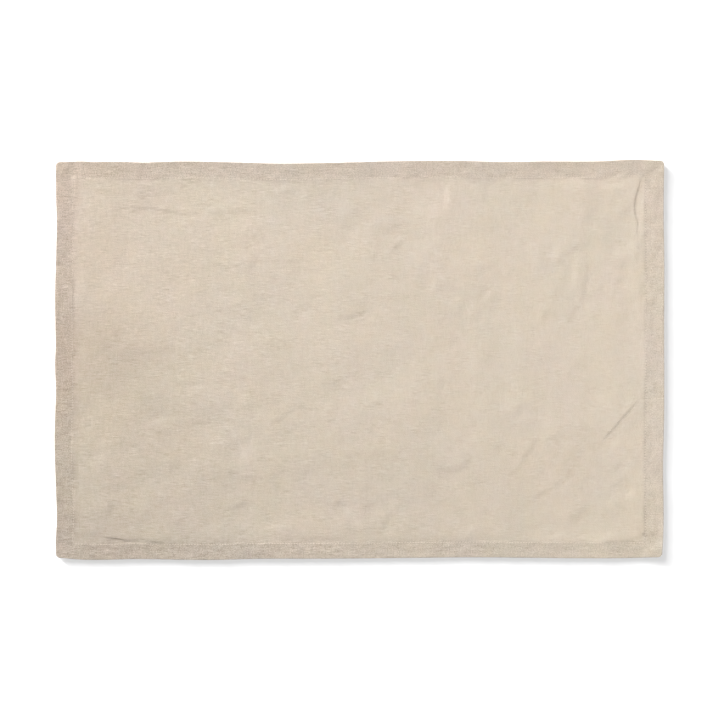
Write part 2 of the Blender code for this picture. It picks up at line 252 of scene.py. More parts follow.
# The cloth's right side across the hem, from the single layer out to the folded edge, back under it, round
# the inner fold and out again to the tucked raw edge. A place is a share of the way from the folded edge (0)
# to the sewing line (1).
Section = namedtuple("Section", "place height")
HEM = (
    Section(1.16, 1.85),
    Section(1.10, 1.86),
    Section(1.04, 1.86),
    Section(1.00, 1.85),  # sewing line, pulled down
    Section(0.96, 1.865),
    Section(0.88, 1.88),
    Section(0.79, 1.905),
    Section(0.70, 1.93),
    Section(0.60, 1.96),
    Section(0.50, 2.00),
    Section(0.40, 2.04),
    Section(0.30, 2.08),
    Section(0.20, 2.13),
    Section(0.12, 2.17),
    Section(0.05, 2.20),
    Section(0.025, 2.20),
    Section(0.012, 2.18),
    Section(0.004, 2.11),
    Section(0.000, 1.95),
    Section(0.000, 1.55),  # folded edge
    Section(0.000, 1.15),
    Section(0.004, 0.98),
    Section(0.02, 0.88),
    Section(0.05, 0.80),
    Section(0.12, 0.66),
    Section(0.30, 0.35),
    Section(0.60, 0.05),
    Section(0.93, 0.03),
    Section(1.00, 0.20),  # the stitches lift the under layer too
    Section(1.07, 0.03),
    Section(1.12, 0.07),
    Section(1.148, 0.25),
    Section(1.155, 0.50),  # inner fold
    Section(1.148, 0.78),
    Section(1.11, 0.98),
    Section(1.00, 1.14),
    Section(0.60, 1.22),
    Section(0.25, 1.34),  # raw edge, tucked in
)
INNER_PLACE = HEM[0].place
HEM_TOP = 2.08  # height of most of the hem
FOLD_HEIGHT = 1.55  # of the middle of the folded edge
FOLD_PLACE = 0.06  # the fold's bend is nearer the edge than this
FOLD_PINCH = 0.34  # height of the fold's inside, as a share of its outside
UNDER_TOP = 0.6  # up to this height, the layers keep flat on the table
HEM_FADE = 0.16  # how far out of the section's start the hem has its own rise in full
LEAN = {"left": 0.2, "right": 0.4, "top": 0.0, "bottom": -0.25}  # how much higher a side's folded edge stands

# Creases and folds of the single cloth. Each is a line, and the cloth stands higher on the left of the line's
# direction by the drop, or lower where that is negative. It falls over about the width on each side, and
# fades out towards the line's ends and beyond its reach.
FOLD_FADE = 0.7  # power of the fade towards the ends
FOLD_REACH = 3.0  # in widths
LEAST_REACH = 2.0
FOLD_LIMIT = 4.0  # in reaches from the line; farther away it adds nothing
END_SHARE = 0.001  # keeps the fade above 0 at the very ends
Crease = namedtuple("Crease", "line drop width")


def crease(*points, drop, width):
    return Crease([Vector(point) for point in points], drop, width)


CREASES = (
    crease((229, 99), (228, 105), (229, 112), (227, 119), (226, 126), (227, 134), (230, 143), (231, 148),
           (233, 154), drop=0.37, width=0.55),
    crease((232, 108), (232, 118), (233, 130), (237, 143), drop=-0.21, width=1.8),
    crease((198, -69), (204, -62), (209, -57), (214, -50), (219, -45), (225, -38), (232, -31),
           drop=0.29, width=0.9),
    crease((-211, -146), (-203, -146.6), (-198, -147.2), (-192, -148.4), (-187, -148.6), (-177, -149.3),
           drop=0.58, width=0.42),
    crease((-196, 125), (-171, 124), (-156, 122), (-146, 120), (-127, 120), drop=0.36, width=1.3),
    crease((-124, 120), (-109, 122), (-93, 123), (-82, 120), drop=0.29, width=1.7),
    crease((-117, 33), (-108, 28), (-100, 24), (-91, 19), drop=0.31, width=1.8),
    crease((-122, -11), (-108, -11), (-98, -15), (-82, -21), drop=0.29, width=1.8),
    crease((-88, 82), (-68, 82), (-60, 80), (-45, 82), drop=0.21, width=1.8),
    crease((-18, 30), (-16, 35), (-9, 35), (-1, 37), (9, 42), drop=0.31, width=1.8),
    crease((-34, -22), (-22, -19), (-10, -14), (0, -12), drop=0.26, width=2.2),
    crease((-77, -53), (-66, -49), (-57, -43), (-47, -40), drop=0.31, width=2.0),
    crease((-114, -120), (-103, -122), (-97, -119), (-87, -117), drop=0.39, width=2.0),
    crease((-113, -93), (-103, -95), (-95, -97), (-78, -96), drop=0.43, width=2.6),
    crease((-142, -69), (-133, -73), (-119, -80), drop=0.26, width=2.0),
    crease((61, -87), (72, -91), (83, -90), (93, -80), drop=0.45, width=2.5),
    crease((132, -92), (135, -81), (141, -74), (147, -63), drop=0.28, width=1.9),
    crease((18, -142), (22, -133), (26, -125), drop=0.33, width=1.9),
    crease((139, -118), (148, -111), (158, -106), drop=0.24, width=1.8),
    crease((183, 43), (185, 58), (187, 68), (187, 81), drop=0.33, width=1.7),
)

# Shorter folds that are straight, by their middle, their length and their direction in degrees from +X
Fold = namedtuple("Fold", "x y length turn drop width")
FOLDS = (
    Fold(-178, 5, 56, 2, 0.53, 6.0), Fold(-160, 9, 18, 26, 0.19, 1.8), Fold(-118, 77, 32, 6, 0.28, 1.9),
    Fold(-89, 76, 10, 14, 0.22, 1.9), Fold(-93, 35, 28, -4, 0.21, 1.8), Fold(-87, 102, 12, 6, 0.21, 1.8),
    Fold(-8, 109, 14, 8, 0.28, 2.0), Fold(-10, 116, 12, 84, 0.19, 2.2), Fold(28, 108, 18, 22, 0.26, 2.4),
    Fold(31, 93, 12, 32, 0.40, 1.9), Fold(12, 84, 8, 16, 0.31, 2.0), Fold(84, 43, 18, 78, 0.33, 2.4),
    Fold(103, 139, 24, 82, 0.26, 2.0), Fold(104, 76, 20, 0, 0.22, 1.9), Fold(101, 56, 14, 70, 0.33, 1.9),
    Fold(99, 39, 14, 88, 0.22, 1.8), Fold(124, 71, 12, 68, 0.24, 1.8), Fold(135, 99, 9, 45, 0.22, 1.8),
    Fold(187, 116, 14, 10, 0.29, 4.0), Fold(176, 91, 12, 27, 0.29, 1.7), Fold(165, 82, 20, 62, 0.17, 1.4),
    Fold(216, 78, 14, 48, 0.22, 1.7), Fold(215, 65, 12, 30, 0.28, 3.6), Fold(175, 38, 16, 70, 0.34, 2.8),
    Fold(153, 36, 18, 58, 0.29, 2.8), Fold(218, 121, 10, 50, 0.24, 3.0), Fold(231, 57, 16, 86, 0.24, 1.8),
    Fold(-136, -19, 27, 2, 0.24, 1.7), Fold(-223, -34, 17, 83, 0.22, 1.5),
    Fold(-157, -61, 17, -6, 0.26, 2.2), Fold(-131, -53, 18, 12, 0.22, 2.0),
    Fold(-121, -93, 20, 87, 0.21, 1.6), Fold(-152, -88, 14, 40, 0.43, 4.2),
    Fold(-204, -121, 15, 62, 0.53, 3.2), Fold(-199, -104, 9, 40, 0.29, 2.4),
    Fold(-190, -114, 9, 20, 0.22, 2.2), Fold(-148, -134, 10, 68, 0.28, 2.4),
    Fold(-96, -65, 16, 4, 0.26, 2.2), Fold(-228, -144, 7, 45, 0.36, 2.2), Fold(15, -36, 11, 6, 0.34, 1.8),
    Fold(67, -20, 8, 16, 0.31, 2.8), Fold(-67, -61, 18, 0, 0.22, 1.7), Fold(-8, -82, 14, 82, 0.26, 2.2),
    Fold(-66, -93, 9, 14, 0.31, 2.8), Fold(-44, -92, 10, 50, 0.24, 2.0), Fold(26, -97, 9, 54, 0.31, 2.6),
    Fold(6, -106, 10, 18, 0.38, 2.8), Fold(-17, -118, 12, 38, 0.45, 2.2), Fold(8, -122, 12, 20, 0.33, 2.2),
    Fold(31, -123, 12, 10, 0.26, 1.7), Fold(92, -17, 8, 34, 0.31, 2.4), Fold(131, -42, 15, 70, 0.36, 2.0),
    Fold(163, -63, 17, -3, 0.29, 2.2), Fold(114, -72, 8, 56, 0.26, 2.4), Fold(213, -87, 11, 40, 0.36, 2.8),
    Fold(212, -102, 20, 30, 0.26, 1.8), Fold(163, -102, 10, 14, 0.28, 1.8),
    Fold(172, -95, 8, 26, 0.24, 2.0), Fold(187, -98, 8, 26, 0.22, 2.0), Fold(178, -129, 25, 32, 0.40, 4.5),
    Fold(145, -137, 13, 8, 0.22, 1.8), Fold(102, -126, 8, 44, 0.26, 2.4),
    Fold(-229, 69, 42, 90, -0.29, 3.0), Fold(-215, 50, 18, 8, -0.45, 4.6),
    Fold(-187, 85, 19, 88, -0.22, 3.0), Fold(-95, 88, 20, -10, -0.22, 1.9),
    Fold(-62, 142, 28, 13, -0.34, 1.6), Fold(-47, 139, 16, 88, -0.24, 2.6),
    Fold(72, 134, 26, 88, -0.48, 3.0), Fold(60, 120, 9, 20, -0.26, 3.0), Fold(61, 64, 15, 86, -0.31, 2.4),
    Fold(78, 8, 17, 0, -0.29, 3.4), Fold(106, 55, 11, 88, -0.21, 1.5), Fold(162, 88, 13, 68, -0.24, 2.6),
    Fold(177, 70, 33, 86, -0.33, 2.1), Fold(211, 87, 9, 45, -0.33, 3.0), Fold(208, 143, 22, 4, -0.43, 2.6),
    Fold(-133, -23, 15, 6, -0.24, 1.9), Fold(-101, -39, 18, 20, -0.34, 6.0),
    Fold(-165, -49, 24, 0, -0.28, 1.9), Fold(-208, -68, 20, 0, -0.29, 2.0),
    Fold(-213, -80, 13, 70, -0.45, 3.2), Fold(-229, -108, 48, 90, -0.26, 2.0),
    Fold(-179, -120, 16, 16, -0.36, 5.0), Fold(-190, -140, 9, 45, -0.33, 3.2),
    Fold(-87, -73, 16, 90, -0.33, 1.6), Fold(-95, -78, 17, 86, -0.36, 2.8),
    Fold(-117, -67, 11, 10, -0.26, 2.8), Fold(-9, -21, 7, 20, -0.29, 2.4),
    Fold(-27, -39, 8, 34, -0.36, 2.6), Fold(75, -61, 20, 18, -0.36, 6.0),
    Fold(-68, -137, 28, 4, -0.57, 3.8), Fold(0, -135, 11, 30, -0.48, 4.0),
    Fold(88, -139, 17, 14, -0.43, 5.0), Fold(211, -68, 9, 64, -0.31, 2.6),
    Fold(207, -116, 7, 72, -0.31, 1.9), Fold(223, -110, 11, 30, -0.45, 3.2),
    Fold(162, -144, 15, 8, -0.36, 2.0), Fold(207, -143, 13, 4, -0.31, 2.2),
    Fold(229, 90, 16, 86, 0.29, 1.4), Fold(-170, -150, 24, -4, 0.29, 1.0),
    Fold(240, -121, 20, 0, 0.26, 1.2), Fold(237, -143, 13, 0, 0.12, 1.0), Fold(238, -26, 8, 0, 0.26, 1.2),
    Fold(246, 133, 22, 90, 0.26, 1.6), Fold(247, 94, 6, 45, 0.22, 1.5), Fold(243, 86, 6, 45, 0.21, 1.5),
    Fold(236, 104, 6, 60, 0.21, 1.5), Fold(238, -76, 6, 30, 0.22, 1.5), Fold(240, 155.5, 9, 16, 0.34, 1.1),
    Fold(-237, 157, 9, 0, 0.14, 1.0), Fold(-242, -129.5, 13, -28, 0.60, 1.6),
    Fold(-226, -146, 5, 20, 0.34, 1.5), Fold(-217, -143, 10, 0, 0.26, 1.3),
    Fold(-225, -152, 5, 0, 0.43, 0.9), Fold(233, -144, 5, -26, 0.19, 0.9),
    Fold(242, -143.5, 5, 0, 0.34, 0.9), Fold(248.5, -147, 30, 90, -0.26, 1.0),
    Fold(206, -150, 16, 0, 0.22, 1.0), Fold(-80, 147.5, 13, -6, 0.30, 1.2),
)


def through(rows, places):
    """A smooth curve through the rows of a two-column table, read at an array of places."""
    keys, values = np.array(rows, float).T
    slopes = np.gradient(values, keys)
    places = np.clip(places, keys[0], keys[-1])
    row = np.clip(np.searchsorted(keys, places) - 1, 0, len(keys) - 2)
    width = keys[row + 1] - keys[row]
    share = (places - keys[row]) / width
    rest = 1 - share
    ends = values[row] * (1 + 2 * share) * rest**2 + values[row + 1] * (3 - 2 * share) * share**2
    return ends + width * share * rest * (slopes[row] * rest - slopes[row + 1] * share)


def left_edge(y):
    return -LENGTH / 2 + through(LEFT, y)


def right_edge(y):
    return LENGTH / 2 - through(RIGHT, y)


def top_edge(x):
    return WIDTH / 2 - through(TOP, x)


def bottom_edge(x):
    return -WIDTH / 2 + through(BOTTOM, x)


def seam_offsets(points):
    """How far points lie inwards of the nearer upright sewing line, and of the nearer level one."""
    x, y = points.T
    upright = np.minimum(x - left_edge(y) - SEAM["left"], right_edge(y) - SEAM["right"] - x)
    level = np.minimum(y - bottom_edge(x) - SEAM["bottom"], top_edge(x) - SEAM["top"] - y)
    return upright, level


def hem_places(points):
    """Places in the hem's section: 0 at the folded edge, 1 at the sewing line."""
    x, y = points.T
    across = np.minimum((x - left_edge(y)) / SEAM["left"], (right_edge(y) - x) / SEAM["right"])
    along = np.minimum((y - bottom_edge(x)) / SEAM["bottom"], (top_edge(x) - y) / SEAM["top"])
    return across, along


def ring(place):
    """A closed loop at one place in the hem's section, anticlockwise. Every loop has as many points."""
    inset = {side: place * seam for side, seam in SEAM.items()}
    radius = max(CORNER_RADIUS - place * MEAN_SEAM, LEAST_RADIUS)
    x_ends = np.array([-LENGTH / 2 + MEAN_DIP + inset["left"], LENGTH / 2 - MEAN_DIP - inset["right"]])
    y_ends = np.array([-WIDTH / 2 + MEAN_DIP + inset["bottom"], WIDTH / 2 - MEAN_DIP - inset["top"]])

    def corner(x, y, first):
        edge_x = left_edge(y) + inset["left"] if x < 0 else right_edge(y) - inset["right"]
        edge_y = bottom_edge(x) + inset["bottom"] if y < 0 else top_edge(x) - inset["top"]
        angles = np.radians(first + np.linspace(0, 90, CORNER_POINTS))
        middle_x = edge_x + math.copysign(radius, -x)
        middle_y = edge_y + math.copysign(radius, -y)
        return np.column_stack((middle_x + radius * np.cos(angles), middle_y + radius * np.sin(angles)))

    def between(ends, size):
        count = round(size / EDGE_STEP)
        margin = radius + EDGE_STEP / 2
        return np.linspace(ends[0] + margin, ends[1] - margin, count)

    x, y = between(x_ends, LENGTH), between(y_ends, WIDTH)
    return np.vstack((
        corner(x_ends[0], y_ends[0], 180),
        np.column_stack((x, bottom_edge(x) + inset["bottom"])),
        corner(x_ends[1], y_ends[0], 270),
        np.column_stack((right_edge(y) - inset["right"], y)),
        corner(x_ends[1], y_ends[1], 0),
        np.column_stack((x, top_edge(x) - inset["top"]))[::-1],
        corner(x_ends[0], y_ends[1], 90),
        np.column_stack((left_edge(y) + inset["left"], y))[::-1],
    ))


def straight_line(fold):
    """The line of a straight fold, as a crease."""
    turn = math.radians(fold.turn)
    half = Vector((math.cos(turn), math.sin(turn))) * fold.length / 2
    middle = Vector((fold.x, fold.y))
    return Crease([middle - half, middle, middle + half], fold.drop, fold.width)


def crease_rise(crease, points):
    """What a crease adds to the height at points. It fades towards the line's ends and away from the line."""
    line = np.array(crease.line)
    reach = FOLD_REACH * crease.width + LEAST_REACH
    low, high = line.min(axis=0) - FOLD_LIMIT * reach, line.max(axis=0) + FOLD_LIMIT * reach
    near = np.all((points > low) & (points < high), axis=1)
    here = points[near]
    best = np.full(len(here), np.inf)
    side = np.zeros(len(here))
    place = np.zeros(len(here))
    passed = 0.0
    for start, end in zip(line, line[1:]):
        run = end - start
        size = np.hypot(*run)
        away = here - start
        share = np.clip(away @ run / size**2, 0, 1)
        gap = np.hypot(*(away - share[:, None] * run).T)
        nearer = gap < best
        best = np.where(nearer, gap, best)
        side = np.where(nearer, np.sign(run[0] * away[:, 1] - run[1] * away[:, 0]), side)
        place = np.where(nearer, passed + size * share, place)
        passed += size
    fade = np.sin(math.pi * np.clip(place / passed, END_SHARE, 1 - END_SHARE)) ** FOLD_FADE
    rise = np.zeros(len(points))
    rise[near] = crease.drop / 2 * fade * side * np.tanh(best / crease.width) * np.exp(-best / reach)
    return rise


def noise_at(points, x_size, y_size, seed):
    """Smooth noise from about -1 to 1 at points, with cells of the given sizes."""
    cell = np.column_stack((points[:, 0] / x_size, points[:, 1] / y_size, np.full(len(points), seed)))
    return np.array([noise.noise(Vector(place)) for place in cell])


def crumple(points):
    """The washed cloth's unevenness: streaks along X on the left and along Y on the right, and cells."""
    right = 1 / (1 + np.exp(-(points[:, 0] - TURN_PLACE) / TURN_WIDTH))
    height = 0
    for size, rise in CRUMPLES:
        rows = noise_at(points, ROW_STRETCH * size, size, size)
        columns = noise_at(points, size, COLUMN_STRETCH * size, size + COLUMN_SEED)
        cells = noise_at(points, CELL_STRETCH * size, CELL_STRETCH * size, size + CELL_SEED)
        streaked = rows * (1 - right) + columns * right
        height = height + rise * (STREAK_SHARE * streaked + CELL_SHARE * cells)
    return height


def fold_rise(points):
    """What all the creases and folds add to the height at points."""
    folds = CREASES + tuple(straight_line(fold) for fold in FOLDS)
    return sum(crease_rise(fold, points) for fold in folds)


def single_heights(points, places):
    """Heights of the single layer's upper face."""
    inside = np.maximum((places - INNER_PLACE) * MEAN_SEAM, 0)
    away = 1 - np.exp(-inside / CRUMPLE_START)
    rise = LIFT + away * crumple(points) + fold_rise(points)
    settled = (rise + np.hypot(rise, SETTLING)) / 2
    flat = (LIFT + math.hypot(LIFT, SETTLING)) / 2
    step = HEM[0].height - CLOTH - flat
    return CLOTH + settled + step * np.exp(-((inside / PUFF_PLACE) ** PUFF_POWER))


def hem_wave(points):
    """Rise and fall of the hem's upper layer."""
    return sum(wave.rise * noise_at(points, wave.size, wave.size, wave.seed) for wave in HEM_WAVES)


def side_places(points):
    """Places in each side's own hem section, one array for each side."""
    x, y = points.T
    return {
        "left": (x - left_edge(y)) / SEAM["left"],
        "right": (right_edge(y) - x) / SEAM["right"],
        "top": (top_edge(x) - y) / SEAM["top"],
        "bottom": (y - bottom_edge(x)) / SEAM["bottom"],
    }


def hem_lean(points):
    """How much the sides' lean lifts points of the hem."""
    rise = 0
    for side, places in side_places(points).items():
        rise = rise + LEAN[side] * np.clip(1 - places, 0, 1)
    return rise


def lattice(step, keep_clear):
    """A staggered lattice over the single layer, with room around the creases' points."""
    row_height = step * math.sqrt(3) / 2
    rows = np.arange(-WIDTH / 2, WIDTH / 2, row_height)
    columns = np.arange(-LENGTH / 2, LENGTH / 2, step)
    x, y = np.meshgrid(columns, rows)
    x = x + (np.arange(len(rows)) % 2)[:, None] * step / 2
    points = np.column_stack((x.ravel(), y.ravel()))
    inner = np.minimum(*hem_places(points)) > INNER_PLACE + RING_CLEARANCE * step / MEAN_SEAM
    points = points[inner]
    cells = {}
    for near in keep_clear:
        home = (int(near[0] // step), int(near[1] // step))
        for i in (-1, 0, 1):
            for j in (-1, 0, 1):
                cells.setdefault((home[0] + i, home[1] + j), []).append(near)
    kept = []
    for point in points:
        around = cells.get((int(point[0] // step), int(point[1] // step)), ())
        if all(math.dist(point, near) > LATTICE_CLEARANCE * step for near in around):
            kept.append(point)
    return np.array(kept)


def crease_rows(crease, step):
    """Rows of points along a crease's line and beside it."""
    line = np.array(crease.line)
    sizes = np.hypot(*np.diff(line, axis=0).T)
    passed = np.concatenate(([0], np.cumsum(sizes)))
    places = np.linspace(0, passed[-1], max(3, round(passed[-1] / step)))
    middle = np.column_stack((np.interp(places, passed, line[:, 0]), np.interp(places, passed, line[:, 1])))
    way = np.gradient(middle, axis=0)
    way /= np.hypot(*way.T)[:, None]
    side = np.column_stack((-way[:, 1], way[:, 0]))
    rows = [middle + side * offset * crease.width for offset in CREASE_OFFSETS]
    return [row[np.minimum(*hem_places(row)) > INNER_PLACE + CREASE_CLEARANCE] for row in rows]


def single_layer(step, crease_step):
    """Points and triangles over the single layer. The first points are the ring around it."""
    edge = ring(INNER_PLACE)
    lines = [row for crease in CREASES for row in crease_rows(crease, crease_step)]
    creased = np.vstack(lines)
    loose = lattice(step, creased)
    points = [Vector(point) for point in np.vstack((edge, creased, loose))]
    edges = [(i, (i + 1) % len(edge)) for i in range(len(edge))]
    border = [list(range(len(edge)))]
    flat, _, faces, sources, _, _ = delaunay_2d_cdt(points, edges, border, 1, MERGE_DISTANCE)
    found = {source: index for index, here in enumerate(sources) for source in here}
    order = [found[i] for i in range(len(edge))]
    on_edge = set(order)
    order += [i for i in range(len(flat)) if i not in on_edge]
    place_of = {old: new for new, old in enumerate(order)}
    flat = np.array([flat[i][:] for i in order])
    return flat, [[place_of[i] for i in face] for face in faces]


def wrong_side(rows):
    """The other side of the sheet across the hem: the right side's section, moved in by the thickness."""
    line = np.array([(row.place * MEAN_SEAM, row.height) for row in rows])
    way = np.gradient(line, axis=0)
    way[0] = (-1, 0)
    way /= np.hypot(*way.T)[:, None]
    inner = line + np.column_stack((-way[:, 1], way[:, 0])) * CLOTH
    bend = line[:, 0] < FOLD_PLACE * MEAN_SEAM
    inner[bend, 0] = CLOTH + line[bend, 0]
    inner[bend, 1] = FOLD_HEIGHT + (line[bend, 1] - FOLD_HEIGHT) * FOLD_PINCH
    return [Section(inset / MEAN_SEAM, height) for inset, height in inner]


def hem_rise(points, row):
    """What the hem's waves, its lean and the crossing layers add to the height of a row of its section."""
    upper = min(1.0, max(0.0, row.height - UNDER_TOP))
    fade = min(1.0, (INNER_PLACE - row.place) / HEM_FADE)
    across, along = hem_places(points)
    crossing = np.clip(1 - across, 0, 1) * np.clip(1 - along, 0, 1)
    own = hem_wave(points) + hem_lean(points) + CORNER_RISE * np.minimum(1, CROSSING_SPREAD * crossing)
    return upper * (fade * own + fold_rise(points))


def hem_loops(rows):
    """The hem's loops as points in space, one array for each row of its section."""
    loops = []
    for row, outer_row in rows:
        flat = ring(row.place)
        loops.append(np.column_stack((flat, row.height + hem_rise(flat, outer_row))))
    return loops


def make_cloth():
    """One closed mesh: the right side, the wrong side, and the raw edge that joins them."""
    points, faces = [], []

    def add_side(step, crease_step, rows, drop, flip):
        """One side of the sheet, from the middle to the raw edge. Returns the raw edge's points."""
        flat, triangles = single_layer(step, crease_step)
        places = np.minimum(*hem_places(flat))
        height = single_heights(flat, places) - drop
        count = len(ring(INNER_PLACE))
        height[:count] = HEM[0].height - drop + fold_rise(flat[:count])
        start = len(points)
        points.extend(np.column_stack((flat, height)))
        for triangle in triangles:
            face = [start + i for i in triangle]
            faces.append(face[::-1] if flip else face)
        before = list(range(start, start + count))
        for loop in hem_loops(rows)[1:]:
            here = list(range(len(points), len(points) + count))
            points.extend(loop)
            for i in range(count):
                j = (i + 1) % count
                quad = [before[i], here[i], here[j], before[j]]
                faces.append(quad[::-1] if flip else quad)
            before = here
        return before

    right_rows = list(zip(HEM, HEM))
    wrong_rows = list(zip(wrong_side(HEM), HEM))
    wrong_rows = wrong_rows[:-1:2] + wrong_rows[-1:]
    outer = add_side(FACE_STEP, CREASE_STEP, right_rows, 0.0, False)
    inner = add_side(BACK_STEP, BACK_CREASE_STEP, wrong_rows, CLOTH, True)
    for i in range(len(outer)):
        j = (i + 1) % len(outer)
        faces.append([outer[i], inner[i], inner[j], outer[j]])

    points = np.array(points)
    mesh = bpy.data.meshes.new("linen_cloth")
    mesh.from_pydata((points * MM).tolist(), [], faces)
    upright, level = seam_offsets(points[:, :2])
    for name, values in (("seam_upright", upright), ("seam_level", level)):
        attribute = mesh.attributes.new(name, "FLOAT", "POINT")
        attribute.data.foreach_set("value", values.astype(np.float32))
    mesh.shade_smooth()
    cloth = bpy.data.objects.new("linen_cloth", mesh)
    bpy.context.collection.objects.link(cloth)
    return cloth


def stitch_ends(count, first_corner, last_corner, line):
    """Needle holes along one side of the sewing line, at every whole pitch between its two corners."""
    places = np.arange(-count, count + 1) * STITCH_PITCH
    return line(places[(places > first_corner) & (places < last_corner)])


def stitch_points(holes, heights, up):
    """Rings of points round the thread between two needle holes, on the right side where up is 1."""
    first, last = holes
    way = last - first
    way = way / np.hypot(*way)
    side = np.array((-way[1], way[0]))
    lift_share, flatness = (1, 1) if up > 0 else (UNDER_LIFT, UNDER_FLATNESS)
    points = []
    for row in STITCH:
        middle = first + (last - first) * row.share + side * SLANT * (row.share - 0.5) * up
        height = heights[0] + (heights[1] - heights[0]) * row.share
        height = height + up * row.lift * THREAD / 2 * lift_share
        radius = row.girth * THREAD / 2
        for angle in np.linspace(0, 2 * math.pi, THREAD_SIDES, endpoint=False):
            flat = middle + side * radius * math.cos(angle) * THREAD_SPREAD
            points.append((*flat, height + radius * math.sin(angle) * flatness))
    return points


def stitch_faces(start):
    """The faces round a stitch's rings of points and at its two ends."""
    faces = []
    last = start + (len(STITCH) - 1) * THREAD_SIDES
    for first in range(start, last, THREAD_SIDES):
        for j in range(THREAD_SIDES):
            k = (j + 1) % THREAD_SIDES
            faces.append((first + j, first + k, first + THREAD_SIDES + k, first + THREAD_SIDES + j))
    faces.append(tuple(start + j for j in range(THREAD_SIDES))[::-1])
    faces.append(tuple(last + j for j in range(THREAD_SIDES)))
    return faces


def make_stitching():
    """Rows of stitches on both faces of the hem, as one mesh. Each stitch dips into the cloth at its ends."""
    corners = ring(1.0)
    low, high = corners.min(axis=0) + SEAM_END, corners.max(axis=0) - SEAM_END
    count = int(LENGTH / 2 / STITCH_PITCH)
    rows = (
        stitch_ends(count, low[0], high[0], lambda x: np.column_stack((x, bottom_edge(x) + SEAM["bottom"]))),
        stitch_ends(count, low[0], high[0], lambda x: np.column_stack((x, top_edge(x) - SEAM["top"]))),
        stitch_ends(count, low[1], high[1], lambda y: np.column_stack((left_edge(y) + SEAM["left"], y))),
        stitch_ends(count, low[1], high[1], lambda y: np.column_stack((right_edge(y) - SEAM["right"], y))),
    )
    seam_row = next(row for row in HEM if row.place == 1.0)
    points, faces = [], []
    for holes in rows:
        tops = seam_row.height + hem_rise(holes, seam_row)
        for i in range(len(holes) - 1):
            for up, heights in ((1, tops[i:i + 2]), (-1, (UNDER_SEAM, UNDER_SEAM))):
                start = len(points)
                points.extend(stitch_points(holes[i:i + 2], heights, up))
                faces.extend(stitch_faces(start))
    mesh = bpy.data.meshes.new("stitching")
    mesh.from_pydata((np.array(points) * MM).tolist(), [], faces)
    mesh.shade_smooth()
    stitching = bpy.data.objects.new("stitching", mesh)
    bpy.context.collection.objects.link(stitching)
    return stitching


def add_node(tree, kind, inputs=(), **settings):
    node = tree.nodes.new(kind)
    for name, value in settings.items():
        setattr(node, name, value)
    for socket, value in dict(inputs).items():
        if isinstance(value, bpy.types.NodeSocket):
            tree.links.new(value, node.inputs[socket])
        else:
            node.inputs[socket].default_value = value
    return node


def maths(tree, operation, *values):
    return add_node(tree, "ShaderNodeMath", enumerate(values), operation=operation).outputs[0]


def product(tree, total, *factors):
    """The product of values."""
    for factor in factors:
        total = maths(tree, "MULTIPLY", total, factor)
    return total


def place_parts(tree):
    """The place on the object in millimetres, as a vector and as its x, y and z."""
    place = add_node(tree, "ShaderNodeTexCoord").outputs["Object"]
    place = add_node(tree, "ShaderNodeVectorMath", {0: place, "Scale": 1 / MM}, operation="SCALE").outputs[0]
    split = add_node(tree, "ShaderNodeSeparateXYZ", {0: place}).outputs
    return place, split["X"], split["Y"], split["Z"]


def streaks(tree, place, x_size, y_size, seed, detail=2.0):
    """Noise about 0, in cells of the given sizes in millimetres."""
    cell = add_node(
        tree, "ShaderNodeVectorMath", {0: place, 1: (1 / x_size, 1 / y_size, 1.0)}, operation="MULTIPLY"
    ).outputs[0]
    shifted = add_node(
        tree, "ShaderNodeVectorMath", {0: cell, 1: (seed, seed * 1.7, 0.0)}, operation="ADD"
    ).outputs[0]
    pattern = add_node(
        tree, "ShaderNodeTexNoise", {"Vector": shifted, "Scale": 1.0, "Detail": detail}, noise_dimensions="2D"
    )
    return maths(tree, "SUBTRACT", pattern.outputs["Fac"], 0.5)


def yarns_along(tree, along, across, length, seed):
    """Slubs in yarns that lie side by side. Each yarn has its own places of more and of less flax."""
    row = maths(tree, "FLOOR", maths(tree, "DIVIDE", across, YARN))
    cell = add_node(tree, "ShaderNodeCombineXYZ", {
        "X": maths(tree, "DIVIDE", along, length),
        "Y": maths(tree, "MULTIPLY_ADD", row, YARN_SEED, seed),
    }).outputs[0]
    pattern = add_node(
        tree, "ShaderNodeTexNoise", {"Vector": cell, "Scale": 1.0, "Detail": 1.0}, noise_dimensions="2D"
    )
    return maths(tree, "SUBTRACT", pattern.outputs["Fac"], 0.5)


def weighted(tree, *parts):
    """The sum of values times their weights."""
    total = 0.0
    for value, weight in parts:
        total = maths(tree, "MULTIPLY_ADD", value, weight, total)
    return total


def ramp(tree, value, start, end, low, high):
    """From low to high as the value goes from start to end, eased at both."""
    return add_node(
        tree,
        "ShaderNodeMapRange",
        {"Value": value, "From Min": start, "From Max": end, "To Min": low, "To Max": high},
        interpolation_type="SMOOTHSTEP",
    ).outputs["Result"]


def spotted(tree, value, place, spots, name):
    """A value times the spots' factors of that name, each of which fades to 1 at its spot's size."""
    for spot in spots:
        away = add_node(
            tree, "ShaderNodeVectorMath", {0: place, 1: (spot.x, spot.y, HEM_TOP)}, operation="DISTANCE"
        ).outputs["Value"]
        factor = ramp(tree, away, PATCH_CORE * spot.size, spot.size, getattr(spot, name), 1.0)
        value = maths(tree, "MULTIPLY", value, factor)
    return value


def needle_holes(tree, across, along, beside):
    """1 in the holes of the upright or the level rows of stitches, and 0 away from them."""
    gap = maths(tree, "PINGPONG", along, STITCH_PITCH / 2)
    squares = [maths(tree, "POWER", value, 2.0) for value in (gap, maths(tree, "ABSOLUTE", across))]
    away = maths(tree, "SQRT", maths(tree, "ADD", *squares))
    within = maths(tree, "GREATER_THAN", beside, -ROW_END)
    return maths(tree, "MULTIPLY", ramp(tree, away, HOLE_CORE, HOLE, 1.0, 0.0), within)


